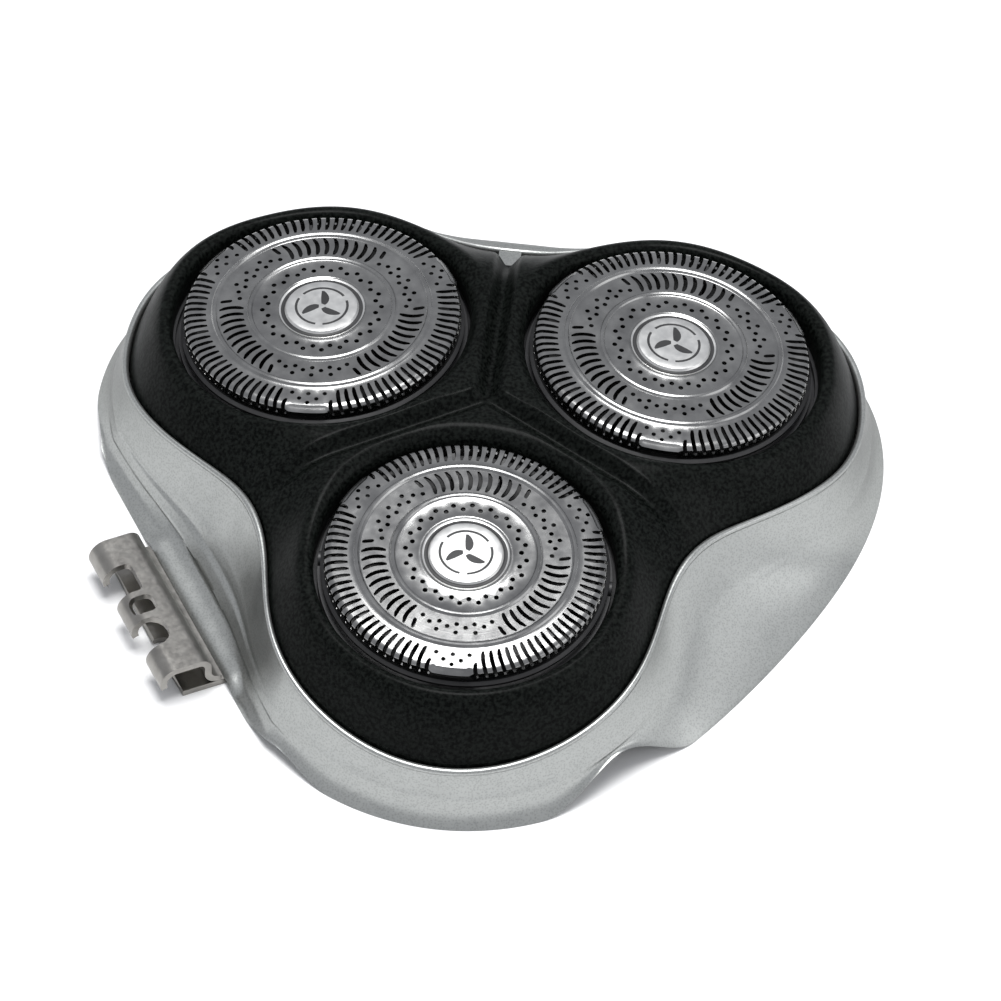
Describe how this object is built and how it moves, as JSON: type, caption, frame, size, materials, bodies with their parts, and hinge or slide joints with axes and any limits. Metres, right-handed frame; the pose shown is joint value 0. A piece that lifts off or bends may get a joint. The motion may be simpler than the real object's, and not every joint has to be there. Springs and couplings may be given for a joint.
{
  "type": "rotary shaver head",
  "caption": "Hinged rotary shaver head: slotted steel guards float in a black lobed face inside a silver skirt, with cutters, lock wheel and hinge clip below.",
  "frame": {"origin": "on the central axis, in the plane of the skirt's lower rim, where the head seats on the shaver", "axes": "+Z out of the shaving face; -Y towards the single front head; the hinge clip points to -X and -Y"},
  "size_m": [0.0678, 0.0662, 0.0146],
  "materials": {
    "satin_silver": "satin silver paint on a moulded plastic shell",
    "soft_black": "fine matte texture",
    "dark_plastic": "moulded matte",
    "grey_plastic": "moulded matte",
    "blue_plastic": "moulded semi-gloss",
    "white_plastic": "moulded satin",
    "guard_steel": "bright ground and etched",
    "disc_steel": "spun satin",
    "blade_steel": "ground",
    "clip_steel": "dull stamped",
    "screw_steel": "zinc plated",
    "spring_steel": "drawn wire",
    "brass_insert": "turned"
  },
  "bodies": {
    "root": {"outer_shell": "satin_silver", "face_cover": "soft_black", "cover_pillars": "brass_insert", "chassis": "dark_plastic", "retaining_plate": "grey_plastic", "lock_screw": "screw_steel", "cover_screws": "screw_steel", "hinge_clip": "clip_steel", "clip_rivets": "screw_steel", "catch_plate": "clip_steel", "float_spring_1": "spring_steel", "float_spring_2": "spring_steel", "float_spring_3": "spring_steel"},
    "lock": {"lock_wheel": "blue_plastic"},
    "float_1": {"cap_holder_1": "dark_plastic"},
    "guard_1": {"guard_cap_1": "guard_steel", "cap_disc_1": "disc_steel"},
    "cutter_1": {"blade_ring_1": "blade_steel", "cutter_carrier_1": "white_plastic"},
    "float_2": {"cap_holder_2": "dark_plastic"},
    "guard_2": {"guard_cap_2": "guard_steel", "cap_disc_2": "disc_steel"},
    "cutter_2": {"blade_ring_2": "blade_steel", "cutter_carrier_2": "white_plastic"},
    "float_3": {"cap_holder_3": "dark_plastic"},
    "guard_3": {"guard_cap_3": "guard_steel", "cap_disc_3": "disc_steel"},
    "cutter_3": {"blade_ring_3": "blade_steel", "cutter_carrier_3": "white_plastic"}
  },
  "joints": [
    {"name": "lock_turn", "type": "hinge", "parent": "root", "child": "lock", "pos_m": [0, 0, 0.0033], "axis": [0, 0, 1], "range_deg": [0, 60]},
    {"name": "float_slide_1", "type": "slide", "parent": "root", "child": "float_1", "axis": [0.0815, -0.0471, -0.9956], "range_m": [0, 0.0015], "stiffness_N_per_m": 400, "springref_m": -0.001, "deforming": ["float_spring_1"]},
    {"name": "guard_tilt_1", "type": "hinge", "parent": "float_1", "child": "guard_1", "pos_m": [-0.01476, 0.00852, 0.01061], "axis": [-0.5, -0.866, 0], "range_deg": [-3, 3], "stiffness_Nm_per_rad": 0.02},
    {"name": "cutter_spin_1", "type": "hinge", "parent": "guard_1", "child": "cutter_1", "pos_m": [-0.01476, 0.00852, 0.01051], "axis": [-0.0815, 0.0471, 0.9956], "continuous": true},
    {"name": "float_slide_2", "type": "slide", "parent": "root", "child": "float_2", "axis": [-0.0815, -0.0471, -0.9956], "range_m": [0, 0.0015], "stiffness_N_per_m": 400, "springref_m": -0.001, "deforming": ["float_spring_2"]},
    {"name": "guard_tilt_2", "type": "hinge", "parent": "float_2", "child": "guard_2", "pos_m": [0.01476, 0.00852, 0.01061], "axis": [-0.5, 0.866, 0], "range_deg": [-3, 3], "stiffness_Nm_per_rad": 0.02},
    {"name": "cutter_spin_2", "type": "hinge", "parent": "guard_2", "child": "cutter_2", "pos_m": [0.01476, 0.00852, 0.01051], "axis": [0.0815, 0.0471, 0.9956], "continuous": true},
    {"name": "float_slide_3", "type": "slide", "parent": "root", "child": "float_3", "axis": [0, 0.0941, -0.9956], "range_m": [0, 0.0015], "stiffness_N_per_m": 400, "springref_m": -0.001, "deforming": ["float_spring_3"]},
    {"name": "guard_tilt_3", "type": "hinge", "parent": "float_3", "child": "guard_3", "pos_m": [0, -0.01705, 0.01061], "axis": [1, 0, 0], "range_deg": [-3, 3], "stiffness_Nm_per_rad": 0.02},
    {"name": "cutter_spin_3", "type": "hinge", "parent": "guard_3", "child": "cutter_3", "pos_m": [0, -0.01704, 0.01051], "axis": [0, -0.0941, 0.9956], "continuous": true}
  ]
}
